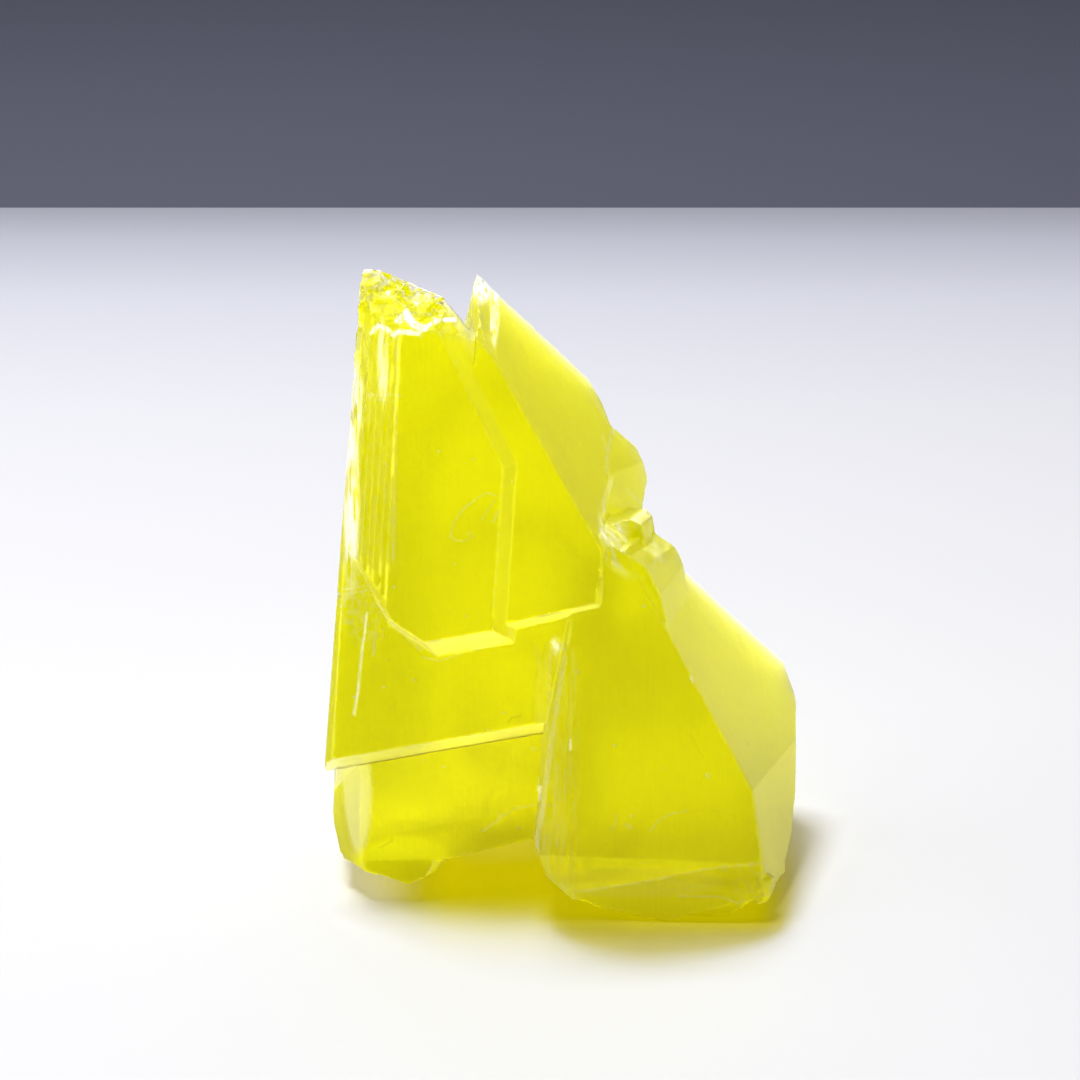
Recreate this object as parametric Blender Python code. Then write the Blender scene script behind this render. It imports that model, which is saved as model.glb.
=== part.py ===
"""Native sulfur specimen: crystals grown together, with raised plates, a broken top and a rough foot.

The shape is set out on the broad front faces: u runs to the right, v up the front and w out of it,
in millimetres. A face is named by its bearing (degrees in the u-v plane, from +u towards +v) and its
tilt (degrees that its outward normal rises towards +w). The group is then leaned back and stood on
its feet, with +Z up and the front towards -Y.
"""
import math
import random

import bmesh
import bpy
from mathutils import Matrix, Vector

MM = 0.001
LEAN_BACK_DEG = 12.0
ROUGH_STOCK = 140.0
FLOOR_STOCK = 60.0

SULFUR_YELLOW = (0.80, 0.74, 0.02, 1.0)
SULFUR_ROUGHNESS = 0.22
SULFUR_IOR = 2.0

# Face directions shared by the crystals: (bearing, tilt).
FRONT = (0, 90)
BACK = (0, -90)
LEFT_SIDE = (175.1, 3)
RIGHT_SIDE = (-0.4, 5)
FOOT = (-80, 38)
ROOF = (96, -49)
LEFT_ROOF = (54.5, -48)
PYRAMID = (29.5, 22)
BREAK = (90, 60.7)
RIGHT_ROOF = (95, -49)
LEFT_BACK = (175, -44)
RIGHT_BACK = (-5, -46)
FOOT_BACK = (-80, -42)

# Core of the upper left crystal: (face, reach from the centre in mm).
UPPER_CENTRE = (-5.0, 28.0, -5.0)
CORE_FACES = (
    (FRONT, 4.4),
    (LEFT_SIDE, 9.35),
    (LEFT_BACK, 8.6),
    (FOOT, 14.5),
    (PYRAMID, 6.4),
    (RIGHT_SIDE, 7.2),
    (LEFT_ROOF, 3.17),
    (BREAK, 12.05),
    (BACK, 7.8),
    (FOOT_BACK, 20.5),
    (RIGHT_BACK, 9.9),
)

# Front plate that overhangs the core on its left and foot.
PLATE_FACES = (
    (FRONT, 5.0),
    ((176, 40), 10.62),
    ((175.1, -3), 9.68),
    (FOOT, 14.72),
    (PYRAMID, 6.6),
    (RIGHT_SIDE, 7.4),
    (LEFT_ROOF, 3.24),
    (BREAK, 12.11),
    ((100.5, 20), 18.5),
    (BACK, -3.7),
)

# Sheet on the upper right, whose pale side slopes back to the roof.
SHEET_FACES = (
    (FRONT, 5.7),
    (PYRAMID, 7.5),
    ((-8, 40), 9.95),
    (RIGHT_SIDE, 8.34),
    ((-77, 38), 9.3),
    (ROOF, 9.75),
    ((60, -49), 12.4),
    ((33, -30), 12.25),
    ((8, -30), 14.5),
    (BACK, 7.2),
    (RIGHT_BACK, 9.6),
    ((-80, -30), 12.0),
    ((172, 10), 3.3),
    ((144, 12), 10.7),
    ((57, 53), 10.4),
)

# Raised shield plate on the upper left crystal.
SHIELD_CENTRE = (-8.5, 30.0, 0.0)
SHIELD_FACES = (
    (FRONT, 1.6),
    (BACK, 1.2),
    ((176.4, 35), 3.34),
    ((25, 45), 4.6),
    ((-4, 45), 4.3),
    ((-80, 39.3), 8.81),
    ((208, 16), 7.05),
    ((237, 18), 9.2),
    (BREAK, 6.77),
    (LEFT_ROOF, 7.15),
)
# Thin layers that climb to it from the left, each stopping a little short of the one below.
STEP_COUNT = 5
STEP_RISE = 0.13
STEP_RETREAT = 0.29
STEP_END_INSET = 0.05
STEP_TOP_REACH = 0.95
STEP_UNDER_REACH = 0.6
STEP_LEFT_REACH = 4.8
STEP_LEFT_BEARING = 175.4
STEP_LEFT_TWIST = 0.6
STEP_TWIST_CYCLE = 3
STEP_LEFT_TILT = 35
STEP_ENDS = (
    ((175.1, -3), 5.95),
    ((-4, 0), 0.0),
    ((25, 45), 4.6),
    ((208, 16), 7.05),
    ((237, 18), 9.2),
    (BREAK, 6.74),
    (LEFT_ROOF, 7.1),
)

# Recessed block below the left crystal.
LOW_LEFT_CENTRE = (-8.0, 6.0, -6.0)
LOW_LEFT_FACES = (
    ((-79, 82), 3.86),
    ((183.5, 38), 7.32),
    ((178, 4), 8.24),
    ((193, 0), 8.1),
    ((250, 0), 5.1),
    ((-77, 0), 2.2),
    ((-77, -45), 4.4),
    ((178, -42), 9.4),
    ((0, 0), 9.0),
    (BACK, 7.4),
    ((100, -48), 5.0),
)
# Its lower edge, parallel to the front again.
LOW_LEFT_FOOT_FACES = (
    (FRONT, 3.9),
    ((183.5, 38), 7.2),
    ((178, 4), 8.1),
    ((193, 0), 7.95),
    ((250, 0), 5.2),
    ((-77, 0), 2.52),
    ((-77, -45), 4.2),
    ((178, -42), 9.1),
    ((0, 0), 8.8),
    (BACK, 7.1),
    ((90, 0), 2.0),
)

# Rough lump the lower left block stands on.
FOOT_LUMP_CENTRE = (-11.5, 4.5, -5.0)
FOOT_LUMP_FACES = (
    ((90, 78), 2.6),
    ((183.5, 38), 3.75),
    ((178, 4), 4.6),
    ((193, 0), 4.2),
    ((250, 10), 2.92),
    ((-66, 12), 3.5),
    ((-27, 12), 3.44),
    ((250, -48), 5.6),
    ((-66, -48), 6.0),
    ((90, 0), 3.0),
    (BACK, 5.4),
    ((200, -30), 4.6),
)

# Lower right crystal.
RIGHT_CENTRE = (6.0, 12.0, -6.0)
RIGHT_ROOF_REACH = 7.75
RIGHT_FACES = (
    ((90, 87.6), 6.71),
    ((168.5, 40), 9.36),
    ((175.5, -2), 7.03),
    ((124, 30), 14.0),
    ((28.7, 22), 7.18),
    ((9, 22), 8.82),
    ((-0.2, 5), 11.01),
    ((-11.5, 0), 12.02),
    ((-22.4, 0), 12.83),
    ((-54.8, 0), 13.2),
    (RIGHT_ROOF, RIGHT_ROOF_REACH),
    ((27, -40), 14.35),
    ((90, 8), 14.6),
    (BACK, 10.6),
    ((175, -45), 9.6),
    (RIGHT_BACK, 13.2),
    ((-92.8, 78), 8.49),
    ((199, 0), 9.5),
    ((226.7, 0), 11.36),
    ((-100, 0), 11.55),
    ((-100, -42), 13.0),
)
# Its lower front, set back behind the pale bevel above the foot.
RIGHT_FOOT_FACES = (
    ((148.8, 85.9), 6.33),
    ((226.7, 0), 11.40),
    ((244, 0), 11.64),
    ((-101.4, 0), 11.74),
    ((-75.8, 0), 12.1),
    ((90, 87.6), 6.64),
    ((175.5, -2), 6.9),
    ((199, 0), 9.45),
    ((95, 0), -5.0),
    ((-0.2, 5), 10.3),
    ((9, 22), 8.7),
    (BACK, 9.4),
    ((-95, -44), 13.4),
)

# Lump beyond the fracture on the right side of the sheet.
LUMP_CENTRE = (2.0, 30.0, -7.0)
LUMP_FACES = (
    (FRONT, 7.4),
    ((10, 24), 1.67),
    (PYRAMID, 1.62),
    ((63.7, -20), 4.85),
    ((20.9, -20), 5.69),
    ((-32, -20), 5.86),
    ((-70, 6), 4.5),
    ((90, -50), 6.4),
    (BACK, 6.6),
    ((180, 0), 1.0),
)

# Crest of the right crystal, where it leaves the fracture.
CREST_CENTRE = (6.0, 24.0, -4.5)
CREST_FACES = (
    (FRONT, 4.65),
    ((56, 16), 1.77),
    ((27, 21), 1.86),
    ((13, 20), 2.13),
    ((52, -35), 2.73),
    ((32, -35), 2.88),
    ((5, -35), 3.0),
    ((90, 0), 3.4),
    ((180, 0), 4.4),
    ((-90, 0), 4.5),
    (BACK, 5.0),
)

# Small block wedged into the fracture above it.
NECK_CENTRE = (5.0, 26.8, -6.0)
NECK_FACES = (
    ((10, 15), 1.54),
    ((60, 10), 1.2),
    ((10, -30), 1.66),
    ((100, 0), 0.8),
    ((-70, 0), 1.6),
    ((180, 0), 3.0),
    (FRONT, 3.2),
    (BACK, 3.0),
)

# Chips broken out of the surface: middle, half sizes in u, v, w (mm) and the seed of their shape.
CHIPS = (
    ("break_wide", (-10.0, 43.8, 1.0), (1.6, 1.3, 1.2), 11),
    ("break_right", (-8.2, 42.7, 1.45), (1.1, 0.9, 0.9), 12),
    ("break_left", (-11.8, 44.3, 0.6), (1.0, 1.2, 1.0), 13),
    ("break_low", (-10.2, 42.0, 1.65), (1.2, 0.6, 0.7), 14),
    ("rim_upper", (-14.1, 38.6, 0.5), (0.6, 1.7, 0.65), 15),
    ("rim_middle", (-14.5, 35.3, 0.5), (0.6, 1.1, 0.65), 16),
    ("rim_lower", (-14.3, 29.0, 0.9), (0.7, 2.6, 0.6), 17),
    ("left_notch", (-15.6, 22.6, 0.0), (0.5, 0.3, 0.7), 18),
    ("right_top_corner", (-0.1, 19.3, 0.75), (0.45, 0.6, 0.5), 19),
    ("low_left_edge", (-4.3, 6.6, -1.6), (1.1, 0.4, 0.4), 20),
    ("fracture_foot", (3.5, 27.4, 0.3), (0.6, 1.3, 0.7), 21),
    ("sole_hollow", (8.0, 0.6, -6.0), (5.5, 1.8, 4.2), 24),
    ("back_shell", (-3.0, 13.5, -14.6), (5.0, 5.5, 2.6), 25),
    ("back_corner", (9.0, 20.5, -14.6), (3.0, 3.2, 2.4), 26),
)

# Small rough lumps grown on the surface, given the same way.
KNOBS = (
    ("right_foot_knob", (14.0, 2.1, 0.1), (1.1, 1.3, 1.0), 41),
)
CHIP_DETAIL = 3
CHIP_ROUGHNESS = 0.04
KNOB_DETAIL = 2
KNOB_ROUGHNESS = 0.16

# Growth plate on the back of the core.
BACK_PLATE_CENTRE = (-5.5, 16.0, -12.8)
BACK_PLATE_FACES = (
    (BACK, 0.8),
    (FRONT, 2.6),
    ((155, -40), 4.4),
    ((184, -45), 3.6),
    ((-98, -50), 5.5),
    ((-27, -50), 5.6),
    ((4, -45), 5.0),
    ((88, -50), 7.0),
)

# Terraces on the back slope of the right crystal, each higher and narrower than the last.
TERRACE_COUNT = 3
TERRACE_RISE = 0.28
TERRACE_EDGES = (
    (PYRAMID, 5.2),
    ((175, -20), 4.4),
    ((-80, -10), 3.0),
    ((40, -30), 9.4),
    ((120, -20), 8.0),
    (FRONT, -1.0),
)
TERRACE_INSET = 0.9


def clear_scene():
    """Remove whatever the scene starts with."""
    for item in list(bpy.data.objects):
        bpy.data.objects.remove(item, do_unlink=True)


def make_material():
    """One translucent yellow material for the whole specimen."""
    material = bpy.data.materials.new("sulfur")
    material.use_nodes = True
    shader = material.node_tree.nodes["Principled BSDF"]
    shader.inputs["Base Color"].default_value = SULFUR_YELLOW
    shader.inputs["Roughness"].default_value = SULFUR_ROUGHNESS
    shader.inputs["IOR"].default_value = SULFUR_IOR
    return material


def make_collection(name):
    """A new collection under the scene's own."""
    collection = bpy.data.collections.new(name)
    bpy.context.scene.collection.children.link(collection)
    return collection


def place(u, v, w):
    """A point of the front frame in the block's own axes: x right, y away from the viewer, z up."""
    return Vector((u, -w, v))


def outward(bearing, tilt):
    """Unit normal of a face from its bearing and tilt."""
    b = math.radians(bearing)
    t = math.radians(tilt)
    return place(math.cos(b) * math.cos(t), math.sin(b) * math.cos(t), math.sin(t))


def clip(shape, point, normal):
    """Cut the shape with a plane, drop what lies outside and close the cut with one flat face."""
    everything = shape.verts[:] + shape.edges[:] + shape.faces[:]
    bmesh.ops.bisect_plane(shape, geom=everything, plane_co=point, plane_no=normal, clear_outer=True)
    rim = [edge for edge in shape.edges if edge.is_boundary]
    if rim:
        bmesh.ops.contextual_create(shape, geom=rim)


def grown_block(centre, faces):
    """A crystal block: a cube of rough stock clipped by each of its faces."""
    middle = place(*centre)
    shape = bmesh.new()
    bmesh.ops.create_cube(shape, size=ROUGH_STOCK, matrix=Matrix.Translation(middle))
    for (bearing, tilt), reach in faces:
        normal = outward(bearing, tilt)
        clip(shape, middle + normal * reach, normal)
    bmesh.ops.recalc_face_normals(shape, faces=shape.faces[:])
    return shape


def broken_shape(centre, half_sizes, seed, detail, roughness):
    """A rounded, slightly uneven shape, for chips with shell-like hollows and for small lumps."""
    uneven = random.Random(seed)
    shape = bmesh.new()
    bmesh.ops.create_icosphere(shape, subdivisions=detail, radius=1.0)
    half_u, half_v, half_w = half_sizes
    for corner in shape.verts:
        swell = 1.0 + uneven.uniform(-roughness, roughness)
        corner.co = Vector((corner.co.x * half_u, corner.co.y * half_w, corner.co.z * half_v)) * swell
    bmesh.ops.translate(shape, verts=shape.verts[:], vec=place(*centre))
    return shape


def below_floor():
    """Stock that takes away whatever reaches below the floor."""
    shape = bmesh.new()
    middle = Matrix.Translation((0.0, 0.0, -FLOOR_STOCK * MM / 2))
    bmesh.ops.create_cube(shape, size=FLOOR_STOCK * MM, matrix=middle)
    return shape


def shield_steps():
    """The thin layers beside the shield plate, from the lowest to the highest."""
    for layer in range(STEP_COUNT):
        inset = STEP_END_INSET * (layer + 1)
        bearing = STEP_LEFT_BEARING + (layer % STEP_TWIST_CYCLE) * STEP_LEFT_TWIST
        climb = (
            (FRONT, STEP_TOP_REACH + layer * STEP_RISE),
            (BACK, STEP_UNDER_REACH + layer * STEP_RISE),
            ((bearing, STEP_LEFT_TILT), STEP_LEFT_REACH - layer * STEP_RETREAT),
        )
        ends = tuple((face, reach - inset) for face, reach in STEP_ENDS)
        yield climb + ends


def roof_terraces():
    """The terraces on the back slope, from the lowest to the highest."""
    for level in range(TERRACE_COUNT):
        roof = RIGHT_ROOF_REACH + (level + 1) * TERRACE_RISE
        inset = level * TERRACE_INSET
        edges = tuple((face, reach - inset) for face, reach in TERRACE_EDGES)
        yield ((RIGHT_ROOF, roof),) + edges


def stand():
    """Lean the group back and turn millimetres into metres."""
    lean = Matrix.Rotation(-math.radians(LEAN_BACK_DEG), 4, "X")
    return Matrix.Scale(MM, 4) @ lean


def add_object(name, shape, collection, material):
    """Put a finished shape into the scene as a named object."""
    mesh = bpy.data.meshes.new(name)
    shape.to_mesh(mesh)
    shape.free()
    mesh.materials.append(material)
    thing = bpy.data.objects.new(name, mesh)
    collection.objects.link(thing)
    return thing


def add_helper(name, shape, collection, material):
    """A hidden shape that is joined to the crystal or cut from it."""
    thing = add_object(name, shape, collection, material)
    thing.hide_render = True
    thing.display_type = "WIRE"
    return thing


def combine(target, other, operation):
    """Join or cut one shape with another by an exact Boolean."""
    step = target.modifiers.new(other.name, "BOOLEAN")
    step.operation = operation
    step.solver = "EXACT"
    step.object = other


def centre_on_floor(crystal, things):
    """Move everything so the middle of the crystal's base lies at the origin."""
    bpy.context.view_layer.update()
    corners = crystal.evaluated_get(bpy.context.evaluated_depsgraph_get()).bound_box
    lows = [min(corner[axis] for corner in corners) for axis in range(3)]
    highs = [max(corner[axis] for corner in corners) for axis in range(3)]
    middle = Vector(((lows[0] + highs[0]) / 2, (lows[1] + highs[1]) / 2, lows[2]))
    for thing in things:
        thing.data.transform(Matrix.Translation(-middle))


def build():
    """Build the whole specimen."""
    clear_scene()
    material = make_material()
    shown = make_collection("native_sulfur")
    helpers = make_collection("native_sulfur_helpers")
    crystal = add_object("sulfur_crystal", grown_block(UPPER_CENTRE, CORE_FACES), shown, material)
    blocks = [
        ("front_plate", UPPER_CENTRE, PLATE_FACES),
        ("right_sheet", UPPER_CENTRE, SHEET_FACES),
        ("shield_plate", SHIELD_CENTRE, SHIELD_FACES),
        ("low_left_block", LOW_LEFT_CENTRE, LOW_LEFT_FACES),
        ("low_left_foot", LOW_LEFT_CENTRE, LOW_LEFT_FOOT_FACES),
        ("right_block", RIGHT_CENTRE, RIGHT_FACES),
        ("right_foot", RIGHT_CENTRE, RIGHT_FOOT_FACES),
        ("outer_lump", LUMP_CENTRE, LUMP_FACES),
        ("crest", CREST_CENTRE, CREST_FACES),
        ("neck_block", NECK_CENTRE, NECK_FACES),
        ("foot_lump", FOOT_LUMP_CENTRE, FOOT_LUMP_FACES),
        ("back_plate", BACK_PLATE_CENTRE, BACK_PLATE_FACES),
    ]
    for layer, faces in enumerate(shield_steps()):
        blocks.append(("shield_step_%d" % (layer + 1), SHIELD_CENTRE, faces))
    for level, faces in enumerate(roof_terraces()):
        blocks.append(("roof_terrace_%d" % (level + 1), RIGHT_CENTRE, faces))
    for name, centre, faces in blocks:
        block = add_helper(name, grown_block(centre, faces), helpers, material)
        combine(crystal, block, "UNION")
    for name, centre, half_sizes, seed in KNOBS:
        lump = broken_shape(centre, half_sizes, seed, KNOB_DETAIL, KNOB_ROUGHNESS)
        knob = add_helper(name, lump, helpers, material)
        combine(crystal, knob, "UNION")
    for name, centre, half_sizes, seed in CHIPS:
        hollow = broken_shape(centre, half_sizes, seed, CHIP_DETAIL, CHIP_ROUGHNESS)
        chip = add_helper(name, hollow, helpers, material)
        combine(crystal, chip, "DIFFERENCE")
    things = [crystal] + list(helpers.objects)
    for thing in things:
        thing.data.transform(stand())
    floor = add_helper("below_floor", below_floor(), helpers, material)
    combine(crystal, floor, "DIFFERENCE")
    centre_on_floor(crystal, things + [floor])


build()
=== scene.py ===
"""Looks of a native sulfur specimen: finely worked crystal faces, translucent yellow sulfur, soft light."""
import math

import bmesh
import bpy
import numpy as np
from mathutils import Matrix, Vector
from mathutils.geometry import delaunay_2d_cdt


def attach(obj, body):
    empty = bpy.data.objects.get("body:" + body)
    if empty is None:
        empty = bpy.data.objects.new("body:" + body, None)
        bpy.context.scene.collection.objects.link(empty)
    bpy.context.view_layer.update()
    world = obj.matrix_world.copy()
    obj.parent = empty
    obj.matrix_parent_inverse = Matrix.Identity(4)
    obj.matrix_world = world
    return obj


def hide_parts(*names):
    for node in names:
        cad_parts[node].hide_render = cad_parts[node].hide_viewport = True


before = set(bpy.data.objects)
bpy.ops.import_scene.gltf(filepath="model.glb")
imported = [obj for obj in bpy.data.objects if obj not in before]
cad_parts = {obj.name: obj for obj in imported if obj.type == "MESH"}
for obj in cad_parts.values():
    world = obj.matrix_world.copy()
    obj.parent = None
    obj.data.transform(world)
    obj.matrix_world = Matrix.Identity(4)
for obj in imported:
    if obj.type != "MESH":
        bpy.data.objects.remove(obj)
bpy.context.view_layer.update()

MM = 0.001
LEAN = math.radians(12.0)
# The front frame, in mm: u to the right along the broad front faces, v up them, w out of them.
FRONT_ZERO = np.array([-0.569, -9.542, 0.0])
U_AXIS = np.array([1.0, 0.0, 0.0])
V_AXIS = np.array([0.0, math.sin(LEAN), math.cos(LEAN)])
W_AXIS = np.array([0.0, -math.cos(LEAN), math.sin(LEAN)])

# Spacing in mm of the points inside a facet: on the front, on its busiest parts and at the back.
FILL_SPACING = 0.27
BUSY_SPACING = 0.19
BACK_SPACING = 0.42
# Spacing of the points on a rim, and how far inside it the first row of points lies (mm).
RIM_SPACING = 0.24
STRIP_WIDTH = 0.11
# Corners of the CAD mesh, and points of one facet, that are nearer than this are one point (mm).
MERGE_GAP = 0.0005
MEET_GAP = 1e-7
# A filled triangle thinner than this (mm) lies between points of one straight rim, outside the facet.
THINNEST = 0.000005
# Points lower than this are on the level that the specimen stands on (mm).
SOLE_HEIGHT = 0.002
# Turn of the normal, in degrees: the most inside one facet, where an edge begins to wear, where it is fully
# worn, where a hollow is fully filled, and where the shading breaks.
SAME_FACET_DEG = 0.6
SHARP_DEG = 20.0
WORN_DEG = 45.0
FILLED_DEG = 50.0
SHADING_DEG = 32.0
# Cells each way of the lattice of random values that grain() repeats, and how far it is shifted, in cells.
LATTICE = 32
LATTICE_SHIFT = 100.37
# Most distances that are worked out at once, and the least length that anything is divided by.
BLOCK = 1000000
TINY = 1e-12

# Marks on the front: half width in mm, tone (pale above 0, dark below) and their line in (u, v).
MARKS = (
    (0.03, 0.50, ((-7.5, 27.0), (-7.3, 27.9), (-6.6, 28.9), (-5.7, 29.6), (-5.0, 30.0), (-4.4, 29.8))),
    (0.02, 0.40, ((-7.5, 27.0), (-7.1, 26.7), (-6.4, 26.7), (-6.0, 27.0), (-6.2, 27.2))),
    (0.02, 0.40, ((-4.5, 29.4), (-5.0, 28.7), (-5.3, 28.2))),
    (0.05, 0.40, ((-4.3, 28.7), (-4.5, 28.1))),
    (0.12, 1.00, ((-12.8, 40.8), (-12.3, 41.3), (-11.6, 40.95))),
    (0.13, 1.00, ((-11.3, 40.7), (-10.8, 40.9), (-9.5, 40.8))),
    (0.22, 1.00, ((-10.9, 41.65), (-10.4, 42.1), (-10.05, 41.5), (-9.2, 41.15))),
    (0.10, 1.00, ((-9.2, 41.15), (-8.4, 41.65), (-7.15, 41.7))),
    (0.07, 0.80, ((-13.0, 36.6), (-11.0, 36.6))),
    (0.05, 0.60, ((-12.9, 36.35), (-11.2, 36.2))),
    (0.06, 0.60, ((-11.8, 40.0), (-12.2, 36.6))),
    (0.06, 0.50, ((-11.0, 41.0), (-11.2, 33.0), (-11.4, 25.3))),
    (0.05, 0.70, ((-14.8, 22.8), (-12.8, 23.1))),
    (0.05, 0.60, ((-14.8, 23.1), (-13.0, 23.4))),
    (0.06, 0.90, ((-13.3, 21.5), (-13.7, 18.9), (-14.0, 16.0), (-14.3, 14.3))),
    (0.06, 0.60, ((-12.7, 20.6), (-12.9, 18.5))),
    (0.08, 0.80, ((-12.6, 22.4), (-12.2, 21.4))),
    (0.10, 0.70, ((-11.0, 20.2), (-9.7, 18.9))),
    (0.08, 0.70, ((-12.2, 21.5), (-11.4, 20.6))),
    (0.04, 0.50, ((-9.4, 18.3), (-8.3, 18.1), (-4.2, 19.5))),
    (0.04, -0.54, ((-3.6, 13.8), (-3.3, 14.1), (-2.8, 14.2))),
    (0.15, 0.75, ((0.3, 18.4), (-0.2, 15.3), (-0.8, 11.2), (-1.2, 8.1), (-1.7, 4.8))),
    (0.12, 1.00, ((-0.5, 19.4), (-0.1, 18.9))),
    (0.05, 0.80, ((0.2, 19.3), (0.3, 18.4))),
    (0.05, 0.70, ((-0.7, 18.6), (-0.8, 15.5), (-1.0, 13.0))),
    (0.06, 0.90, ((0.7, 12.7), (0.7, 12.0))),
    (0.05, 0.40, ((0.4, 10.5), (0.3, 8.4))),
    (0.05, 0.40, ((-0.2, 10.9), (-0.5, 6.3))),
    (0.05, 0.50, ((-0.1, 6.6), (-0.2, 5.1))),
    (0.09, 1.00, ((-1.4, 9.3), (-1.5, 8.5))),
    (0.05, 0.50, ((-1.0, 5.9), (-1.2, 4.8))),
    (0.03, 0.30, ((6.3, 6.3), (6.8, 7.0), (7.7, 7.5), (8.7, 7.65))),
    (0.04, -0.24, ((8.7, 7.6), (10.4, 7.8), (12.1, 7.3), (13.2, 6.8))),
    (0.03, 0.30, ((3.9, 7.3), (3.9, 6.8), (3.6, 6.4))),
    (0.10, 0.50, ((4.6, 6.7), (4.8, 6.5))),
    (0.04, -0.30, ((9.0, 13.0), (9.9, 11.4))),
    (0.04, -0.24, ((8.1, 13.1), (8.6, 12.2))),
    (0.04, -0.24, ((9.3, 13.6), (9.9, 12.3))),
    (0.04, -0.18, ((9.7, 10.2), (10.8, 9.0))),
    (0.07, 0.90, ((9.05, 17.0), (9.15, 16.8))),
    (0.08, 0.80, ((10.15, 10.25), (10.25, 10.15))),
    (0.08, 0.70, ((1.1, 17.45), (1.15, 17.35))),
    (0.08, 0.70, ((-1.85, 11.55), (-1.75, 11.45))),
    (0.04, -0.24, ((-1.1, 4.3), (1.0, 4.3), (2.8, 4.1), (4.9, 3.9))),
    (0.05, 0.40, ((1.3, 1.8), (4.9, 2.4), (7.0, 2.8), (9.8, 3.5), (14.1, 4.0))),
    (0.03, 0.25, ((8.4, 1.6), (11.2, 1.6), (12.6, 1.1))),
    (0.04, -0.24, ((13.1, 18.1), (13.7, 18.5), (14.2, 17.4), (14.7, 15.2), (14.8, 13.4), (14.7, 12.9))),
    (0.04, -0.24, ((13.8, 14.7), (14.2, 13.6), (14.6, 13.1))),
    (0.04, -0.18, ((11.7, 17.0), (12.1, 16.1))),
    (0.04, -0.48, ((13.15, 11.75), (13.25, 11.7))),
    (0.04, -0.24, ((14.1, 11.5), (14.5, 10.5))),
    (0.04, -0.24, ((15.1, 7.1), (15.9, 6.2), (16.5, 4.9))),
    (0.04, -0.18, ((15.2, 5.4), (15.5, 4.5), (16.2, 4.3))),
    (0.12, 0.60, ((-4.4, 6.2), (-4.2, 6.6))),
    (0.06, 0.40, ((-5.3, 5.6), (-3.2, 7.1), (-1.6, 7.4))),
    (0.04, -0.36, ((-12.7, 4.3), (-12.3, 4.5), (-11.8, 4.8))),
    (0.07, 0.80, ((4.0, 33.4), (3.7, 32.6), (3.4, 31.5), (3.3, 30.5))),
    (0.05, 0.60, ((3.1, 32.9), (3.4, 31.8))),
    (0.10, 0.90, ((3.7, 29.9), (3.2, 28.5), (2.8, 27.1))),
    (0.06, 0.80, ((3.3, 29.7), (3.0, 28.6))),
    (0.08, 0.90, ((3.5, 27.0), (4.4, 25.8))),
    (0.07, 0.80, ((4.0, 27.1), (4.8, 26.1))),
    (0.06, 0.60, ((3.4, 26.3), (3.7, 25.4), (4.0, 24.8))),
    (0.04, -0.24, ((3.8, 25.8), (3.7, 23.2), (3.3, 22.1))),
    (0.06, 0.60, ((4.9, 28.9), (6.2, 27.5), (6.6, 26.9))),
    (0.07, 0.50, ((6.3, 26.7), (6.7, 25.5), (6.6, 24.5))),
)
# Spacing of the points along a mark, the width over which it fades out, and how far round it reaches (mm).
MARK_STEP = 0.15
MARK_EDGE = 0.08
MARK_MARGIN = 0.5
# Pale marks stronger than this are crushed sulfur too, and look white.
WHITE_MARK = 0.8

# Places on the specimen, as ellipsoids of the front frame: centre and half sizes (mm), and share from 0 to 1.
# Broken by small chips: the left edge, the right-hand sheet's edge, the right foot and a middle corner.
CHIPPED = (
    ((-13.9, 38.2, 0.5), (0.7, 3.4, 1.2), 1.0),
    ((-14.6, 35.6, 0.4), (0.6, 1.6, 1.0), 1.0),
    ((3.9, 27.4, -1.6), (1.3, 1.5, 3.4), 0.5),
    ((3.4, 30.6, -1.6), (0.5, 2.6, 3.0), 0.5),
    ((14.2, 2.0, 0.2), (1.7, 1.7, 1.6), 0.4),
    ((-0.2, 19.2, 0.6), (0.6, 0.7, 0.8), 0.3),
)
# Crushed and nearly white: the left edge, the right-hand tip, the sheet's right edge and the same corner. The
# white at the right-hand tip is a painted highlight.
CRUSHED_AND_PAINTED_HIGHLIGHT = (
    ((-14.2, 36.2, 0.0), (0.5, 1.8, 2.0), 1.0),
    ((-14.3, 30.0, 0.0), (0.4, 4.5, 2.0), 1.0),
    ((-12.0, 38.8, 0.8), (0.25, 2.0, 1.0), 0.8),
    ((-5.4, 43.9, -3.0), (0.5, 0.9, 3.0), 1.0),
    ((-4.5, 41.6, -2.6), (0.22, 1.6, 2.5), 1.0),
    ((3.1, 28.3, 0.0), (0.35, 1.5, 2.0), 0.7),
    ((4.0, 26.7, -0.5), (0.8, 0.5, 2.0), 0.4),
    ((-0.3, 19.1, 0.6), (0.25, 0.5, 0.8), 0.9),
)
# Scuffed beside the shield's left foot, ridged at the neck, painted reflection on two lower faces, and cloudy
# at the two feet, where painted light also lightens them.
SCUFFED = (((-13.3, 22.2, 0.0), (1.2, 2.2, 0.7), 1.0),)
RIDGED = (((5.2, 26.6, -3.0), (2.4, 2.6, 4.0), 1.0),)
PAINTED_REFLECTION_PLACES = (
    ((-14.3, 9.0, -2.4), (1.0, 4.5, 2.2), 0.42),
    ((6.0, 2.6, 0.2), (6.5, 1.1, 1.0), 0.04),
)
# Cloudy feet: less light passes straight through, and painted light lightens their colour.
CLOUDY_AND_PAINTED_LIGHT = (
    ((6.5, 0.6, -1.0), (8.5, 1.9, 5.0), 1.0),
    ((-11.0, 2.6, -2.0), (3.4, 2.2, 4.0), 1.0),
)
# Shares that the mesh carries for its material. The dark marks' share also holds a darker tone of the faces,
# with painted shade on faces that look to the right or down and on the broken top, and painted light that
# lifts it at the two feet.
SHARES = ("broken", "striated", "rough", "crushed_and_painted_highlight", "painted_reflection", "cloudy_and_painted_light", "mark_pale", "dark_mark_and_painted_shade", "worn_edge_and_painted_highlight")

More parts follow.
